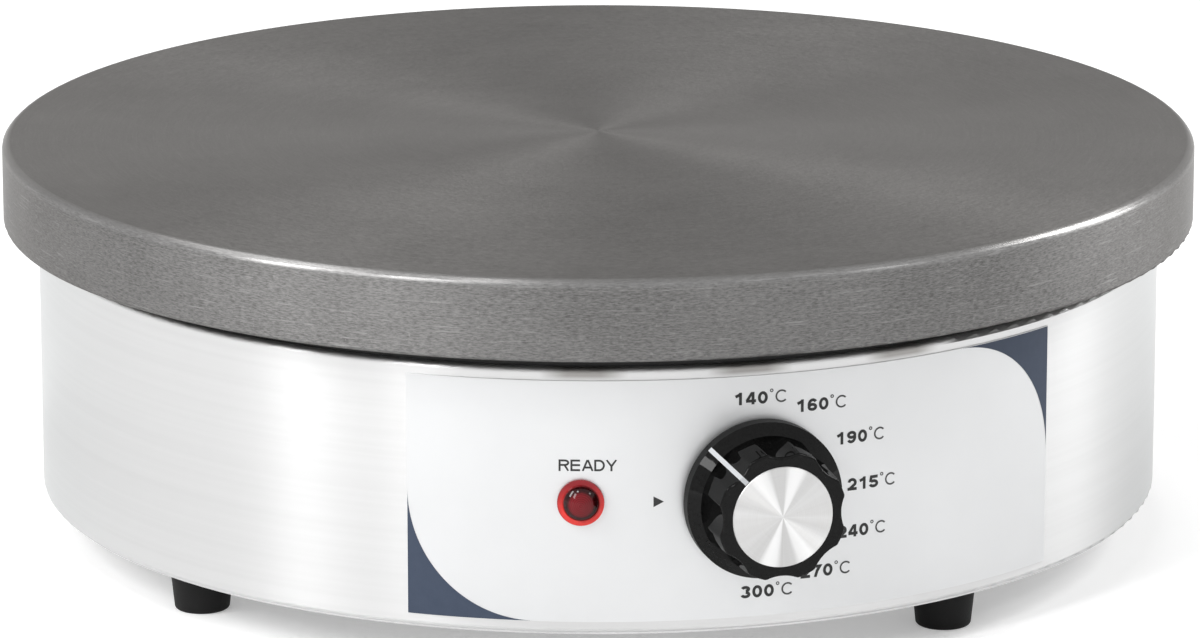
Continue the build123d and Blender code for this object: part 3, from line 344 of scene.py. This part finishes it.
def spun_aluminium():
    """Faced in a lathe: hairlines round the knob's axis, a sunburst, and two painted highlight
    wedges.
    """
    # Angles of the two painted highlight wedges, each with its opposite, for the bright sectors
    # that lamps make on spun metal.
    painted_highlight_angles = [-29, 16.5]
    f = Finish("knob_aluminium", Metallic=1.0, Anisotropic=0.95, Anisotropic_Rotation=0.25)
    place = f.wound(centre=(0, 0, knob_height), axis="Y", radius=1.0)
    turn = f.node("ShaderNodeSeparateXYZ", {0: place}).outputs["X"]
    around = f.node("ShaderNodeCombineXYZ", {0: turn}).outputs[0]
    burst = f.noise(around, 1.7, detail=5.0, rough=0.6)
    painted_highlight_wedges = [f.math("ABSOLUTE", f.math("COSINE", f.math("SUBTRACT", turn, radians(angle))))
             for angle in painted_highlight_angles]
    band = f.remap(f.math("MAXIMUM", *painted_highlight_wedges), 0.0, 1.0, 0.970, 0.992)
    line = f.noise(place, 5000.0, stretch=(0.0002, 1, 1), detail=3.0)
    tone = f.math("ADD", f.math("MULTIPLY", burst, 0.7), f.math("MULTIPLY", line, 0.3))
    faced = f.mix(f.remap(tone, 0.0, 1.0, 0.36, 0.62), grey(0.62, 0.01), grey(0.74))
    # Painted highlight: the wedges lighten the faced colour towards grey 0.94.
    f.set(Base_Color=f.mix(f.math("MULTIPLY", band, 0.8), faced, grey(0.94)),
          Roughness=f.remap(line, 0.46, 0.52), Normal=f.bump(line, 0.000002),
          Tangent=f.tangent("Y"))
    return f.material


def knob_black():
    """Moulded phenolic with a polish that years of fingers have dulled a little."""
    f = Finish("knob_black", Coat_Weight=0.28, Coat_Roughness=0.03, Specular_IOR_Level=0.0)
    fine = f.noise(f.place, 900.0, detail=3.0)
    scuff = f.noise(f.place, 260.0, stretch=(1, 1, 0.3), detail=5.0, rough=0.7)
    f.set(Base_Color=f.mix(f.remap(fine, 0.0, 1.0), grey(0.003), grey(0.007)),
          Roughness=f.remap(scuff, 0.10, 0.20), Normal=f.bump(fine, 0.000004))
    return f.material


def lens_red():
    """Red lens: ribbed core, a painted shade ring where the dome bends, a rim painted lit at the
    bottom and shaded at the top, and a darker outer edge.
    """
    rib_pitch = 0.6 * MM
    core_edge, rim_start = (3.4 * MM, 4.4 * MM), (5.4 * MM, 6.1 * MM)
    outline_start = (7.2 * MM, 7.8 * MM)
    f = Finish("lens_red", Coat_Weight=0.5, Coat_Roughness=0.06, Specular_IOR_Level=0.0)
    moved = f.node("ShaderNodeVectorMath", {0: f.place, 1: tuple(lamp_centre)},
                   operation="SUBTRACT").outputs[0]
    out = Vector((lamp_centre.x, lamp_centre.y, 0)).normalized()
    across = f.node("ShaderNodeVectorMath", {0: moved, 1: tuple(out)},
                    operation="CROSS_PRODUCT").outputs[0]
    reach = f.node("ShaderNodeVectorMath", {0: across}, operation="LENGTH").outputs["Value"]
    up = f.node("ShaderNodeSeparateXYZ", {0: moved}).outputs["Z"]
    ribs = f.math("SINE", f.math("MULTIPLY", reach, 2 * pi / rib_pitch))
    cloud = f.noise(f.place, 700.0)
    core = f.mix(f.remap(ribs, 0.0, 1.0, -1.0, 1.0), (0.120, 0.003, 0.006, 1),
                 (0.230, 0.008, 0.014, 1))
    # Painted shade: a near-black ring where the dome bends, for the dark inside seen through the
    # lens.
    dark = f.mix(f.remap(cloud, 0.0, 1.0), (0.014, 0.001, 0.001, 1), (0.034, 0.002, 0.003, 1))
    low = f.mix(f.remap(cloud, 0.0, 1.0), (0.74, 0.040, 0.036, 1), (0.84, 0.062, 0.050, 1))
    # Painted light on the rim: lighter at the bottom, darker at the top.
    rim = f.mix(f.remap(up, 0.0, 1.0, -4 * MM, 6 * MM), low, (0.30, 0.012, 0.018, 1))
    core_and_painted_shade_ring = f.mix(f.remap(reach, 0.0, 1.0, *core_edge), core, dark)
    lens = f.mix(f.remap(reach, 0.0, 1.0, *rim_start), core_and_painted_shade_ring, rim)
    outline = f.remap(reach, 0.0, 0.9, *outline_start)
    f.set(Base_Color=f.mix(outline, lens, (0.14, 0.010, 0.014, 1)),
          Roughness=f.remap(cloud, 0.05, 0.10), Normal=f.bump(ribs, 0.00002, 0.3))
    return f.material


def woven(name, dark, light):
    """Braided glass sleeve on a lead."""
    f = Finish(name)
    wave = f.node("ShaderNodeTexWave", {"Vector": f.place, "Scale": 900.0, "Distortion": 2.0},
                  bands_direction="DIAGONAL").outputs["Fac"]
    cloud = f.noise(f.place, 60.0)
    f.set(Base_Color=f.mix(f.remap(cloud, 0.0, 1.0), dark, light),
          Roughness=f.remap(wave, 0.6, 0.8), Normal=f.bump(wave, 0.00006))
    return f.material


def plain_metal(name, dark, light, rough):
    return grained(name, dark, light, rough, 1200.0, grain=0.00001, patch=60.0, Metallic=1.0)


materials = {
    "cast_iron": cast_iron(),
    "stainless": stainless(),
    "label_silver": label_silver(),
    "knob_aluminium": spun_aluminium(),
    "knob_black": knob_black(),
    "lens_red": lens_red(),
    "gasket_black": grained("gasket_black", grey(0.012), grey(0.03), (0.6, 0.8), 900.0),
    "foot_rubber": grained("foot_rubber", grey(0.007), grey(0.016), (0.55, 0.7), 1400.0,
                           Specular_IOR_Level=0.15),
    "black_plastic": grained("black_plastic", grey(0.014), grey(0.024), (0.35, 0.5), 1600.0),
    "switch_body": grained("switch_body", grey(0.45, 0.08), grey(0.55, 0.08), (0.5, 0.6), 1200.0),
    "ceramic": grained("ceramic", grey(0.72, 0.03), grey(0.82, 0.03), (0.25, 0.4), 500.0),
    "insulation": grained("insulation", grey(0.68, 0.03), grey(0.85, 0.02), (0.85, 0.95), 350.0,
                          grain=0.0006),
    "pointer_white": grained("pointer_white", grey(0.58, -0.03), grey(0.66, -0.03), (0.4, 0.5),
                             2500.0, grain=0.000005),
    "neon_glass": grained("neon_glass", (0.75, 0.42, 0.30, 1), (0.85, 0.55, 0.42, 1),
                          (0.05, 0.12), 700.0, grain=0.000004, Transmission_Weight=0.6),
    "steel": plain_metal("steel", grey(0.52), grey(0.64), (0.30, 0.42)),
    "element_steel": plain_metal("element_steel", grey(0.22, 0.05), grey(0.32, 0.05), (0.35, 0.5)),
    "brass": plain_metal("brass", (0.62, 0.42, 0.16, 1), (0.74, 0.53, 0.23, 1), (0.25, 0.38)),
    "copper": plain_metal("copper", (0.70, 0.32, 0.20, 1), (0.82, 0.42, 0.28, 1), (0.25, 0.38)),
    "lead_sleeve": woven("lead_sleeve", grey(0.55, 0.05), grey(0.72, 0.05)),
    "earth_sleeve": woven("earth_sleeve", (0.10, 0.28, 0.04, 1), (0.62, 0.55, 0.05, 1)),
}
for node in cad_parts.values():
    for slot in node.material_slots:
        slot.material = materials[slot.material.name.split(".")[0]]


# ---------------------------------------------------------------- printing on the label

print_lift = 0.04 * MM
navy = print_ink("print_navy", (0.050, 0.066, 0.102, 1), (0.060, 0.078, 0.118, 1))
dark_ink = print_ink("print_dark", grey(0.035), grey(0.05))
thin_ink = print_ink("print_thin", grey(0.075), grey(0.10))


def on_label(name, points, faces, material):
    """Flat artwork in metres, x along the arc and y up from the knob's line, on the label."""
    radius = label_radius + print_lift
    placed = [(radius * sin(x / radius), -radius * cos(x / radius), knob_height + y)
              for x, y in points]
    mesh = bpy.data.meshes.new(name)
    mesh.from_pydata(placed, [], faces)
    mesh.materials.append(material)
    for face in mesh.polygons:
        face.use_smooth = True
    made = bpy.data.objects.new(name, mesh)
    bpy.context.collection.objects.link(made)
    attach(made, "housing")


def bow(across, up, wide, high, first, last, count=20):
    """Points on part of an ellipse, between two angles in degrees."""
    turns = [radians(first + (last - first) * k / count) for k in range(count + 1)]
    return [(across + wide * cos(t), up + high * sin(t)) for t in turns]


def sign_lines(sign, w, h, a):
    """Middle lines of a plain sans-serif sign in a box w by h, drawn with a pen of 2a."""
    m, rx, ry = w / 2, w / 2 - a, h / 2 - a
    bowl = 0.32 * h
    six = [bow(m, bowl, rx, bowl - a, 0, 360), bow(0.54 * w, h / 2, 0.54 * w - a, ry, 38, 190)]
    return {
        "0": [bow(m, h / 2, rx, ry, 0, 360, 40)],
        "1": [[(0.64 * w, 0), (0.64 * w, h)],
              [(0.64 * w, h - a), (0.50 * w, 0.80 * h), (0.14 * w, 0.68 * h)]],
        "2": [bow(m, h - a - 0.26 * h, rx, 0.26 * h, 172, -30) + [(a + 0.06 * w, a)],
              [(0, a), (w, a)]],
        "3": [bow(m, 0.735 * h, rx * 0.92, 0.265 * h - a, 165, -85),
              bow(m, 0.295 * h, rx, 0.295 * h - a, 85, -168)],
        "4": [[(0.62 * w, h), (0.62 * a, 0.30 * h)], [(0, 0.28 * h), (w, 0.28 * h)],
              [(0.70 * w, 0), (0.70 * w, h)]],
        "5": [[(0.94 * w, h - a), (0.22 * w, h - a), (0.13 * w, 0.46 * h)],
              bow(0.47 * w, 0.33 * h, 0.53 * w - a, 0.33 * h - a, 135, -166)],
        "6": six,
        "7": [[(0, h - a), (w - a, h - a), (0.56 * w, 0.52 * h), (0.36 * w, 0)]],
        "9": [[(w - x, h - y) for x, y in line] for line in six],
        "C": [bow(m, h / 2, rx, ry, 42, 318, 30)],
        "R": [[(a, 0), (a, h)], [(a, h - a), (0.58 * w, h - a)],
              bow(0.58 * w, 0.72 * h, 0.42 * w - a, 0.28 * h - a, 90, -90),
              [(0.58 * w, 0.44 * h + a), (a, 0.44 * h + a)],
              [(0.56 * w, 0.44 * h + a), (w - a, 0)]],
        "E": [[(a, 0), (a, h)]] + [[(a, y), (0.9 * w, y)] for y in (a, 0.52 * h, h - a)],
        "A": [[(0.04 * w, 0), (m - 0.2 * a, h)], [(m + 0.2 * a, h), (0.96 * w, 0)],
              [(0.2 * w, 0.32 * h), (0.8 * w, 0.32 * h)]],
        "D": [[(a, 0), (a, h)], [(a, h - a), (0.45 * w, h - a)],
              bow(0.45 * w, h / 2, 0.55 * w - a, ry, 90, -90), [(0.45 * w, a), (a, a)]],
        "Y": [[(0.05 * w, h), (m, 0.42 * h), (0.95 * w, h)], [(m, 0.46 * h), (m, 0)]],
    }[sign]


def pen(line, a, top):
    """Band of width 2a along a middle line, kept between the base line and the top."""
    sharpest_corner = 0.35
    closed = (Vector(line[0]) - Vector(line[-1])).length < a / 4
    points = [Vector(p) for p in (line[:-1] if closed else line)]
    sides = []
    for k, point in enumerate(points):
        before = points[k - 1] if closed or k else point
        after = points[(k + 1) % len(points)] if closed or k + 1 < len(points) else point
        legs = [leg.normalized() for leg in (point - before, after - point) if leg.length]
        middle = sum(legs, Vector((0, 0))).normalized()
        grow = a / max(sharpest_corner, middle.dot(legs[0]))
        sides.append(Vector((-middle.y, middle.x)) * grow)
    band = [(p + s, p - s) for p, s in zip(points, sides)]
    verts = [(v.x, min(max(v.y, 0.0), top)) for pair in band for v in pair]
    last = len(points) if closed else len(points) - 1
    count = len(verts)
    faces = [(2 * k, 2 * k + 1, (2 * k + 3) % count, (2 * k + 2) % count) for k in range(last)]
    return verts, faces


def lettering(text, left, bottom, wide, high, step, a):
    """Words in metres as points and faces: signs in boxes wide by high, a step apart."""
    points, faces = [], []
    for k, sign in enumerate(text):
        for line in sign_lines(sign, wide, high, a):
            verts, quads = pen(line, a, high)
            start = len(points)
            points += [(left + k * step + x, bottom + y) for x, y in verts]
            faces += [tuple(start + i for i in quad) for quad in quads]
    return points, faces


def ring(centre, inner, outer, count=24):
    """Flat ring as points and faces."""
    points = [(centre[0] + r * cos(2 * pi * k / count), centre[1] + r * sin(2 * pi * k / count))
              for r in (inner, outer) for k in range(count)]
    faces = [(k, (k + 1) % count, count + (k + 1) % count, count + k) for k in range(count)]
    return points, faces


def temperature(text, across, up):
    """Bold number, small degree ring and light C, centred on a place round the knob."""
    digit_wide, digit_high, digit_step, digit_pen = 3.25 * MM, 4.05 * MM, 3.87 * MM, 0.48 * MM
    unit_place, unit_size, unit_pen = 13.5 * MM, 4.15 * MM, 0.28 * MM
    degree_across, degree_up = 12.25 * MM, 4.1 * MM
    degree_inner, degree_outer = 0.26 * MM, 0.60 * MM
    left, bottom = (across - 7.8) * MM, (up - 2.75) * MM
    points, faces = lettering(text, left, bottom, digit_wide, digit_high, digit_step, digit_pen)
    on_label("print_" + text, points, faces, dark_ink)
    points, faces = lettering("C", left + unit_place, bottom, unit_size, unit_size, 0.0, unit_pen)
    on_label("print_unit_" + text, points, faces, thin_ink)
    centre = (left + degree_across, bottom + degree_up)
    points, faces = ring(centre, degree_inner, degree_outer)
    on_label("print_degree_" + text, points, faces, thin_ink)


def corner_block(name, side):
    """Navy corner outside a round corner of the bare label: side -1 low left, 1 high right."""
    radius, steps = 41 * MM, 48
    inset = 0.15 * MM
    corner = (side * (label_half_width - inset), side * (label_half_height - inset))
    centre = (corner[0] - side * radius, corner[1] - side * radius)
    arc = [(centre[0] + side * radius * sin(k / steps * pi / 2),
            centre[1] + side * radius * cos(k / steps * pi / 2)) for k in range(steps + 1)]
    edge = [(x, corner[1]) for x, y in arc]
    points = arc + edge
    count = steps + 1
    faces = [(k, k + 1, count + k + 1, count + k) for k in range(steps)]
    lift = label_middle - knob_height
    on_label(name, [(x, y + lift) for x, y in points], faces, navy)


# Number, and the place of its middle in millimetres, across and up from the knob's axis.
temperatures = [("140", -0.9, 32.8), ("160", 19.5, 29.0), ("190", 33.2, 16.9), ("215", 37.4, 1.4),
                ("240", 34.0, -13.9), ("270", 21.4, -25.7), ("300", 1.5, -30.5)]
for text, across, up in temperatures:
    temperature(text, across, up)

points, faces = lettering("READY", left=-63.95 * MM, bottom=10.1 * MM, wide=3.35 * MM,
                          high=3.75 * MM, step=3.72 * MM, a=0.32 * MM)
on_label("print_ready", points, faces, dark_ink)
triangle = [(-34.2 * MM, -1.85 * MM), (-30.9 * MM, -0.1 * MM), (-34.2 * MM, 1.65 * MM)]
on_label("print_marker", triangle, [(0, 1, 2)], dark_ink)
corner_block("print_corner_low", -1)
corner_block("print_corner_high", 1)


# ---------------------------------------------------------------- staging

make_camera()
make_world(ambient=0.32)
make_floor(near_glow=0.28, far_glow=0.78)
softbox("key", azimuth=-79, elevation=35, width=0.34, height=1.1, power=23)
softbox("key_front", azimuth=-52, elevation=32, width=0.36, height=0.9, power=12.5)
softbox("key_high", azimuth=-44, elevation=56, width=0.30, height=0.3, power=6)
softbox("fill", azimuth=98, elevation=30, width=0.34, height=1.2, power=30)
softbox("fill_high", azimuth=45, elevation=38, width=0.30, height=0.30, power=3)
softbox("back", azimuth=-128, elevation=56, width=1.0, height=0.8, power=9)
bpy.context.scene.view_settings.view_transform = "Standard"
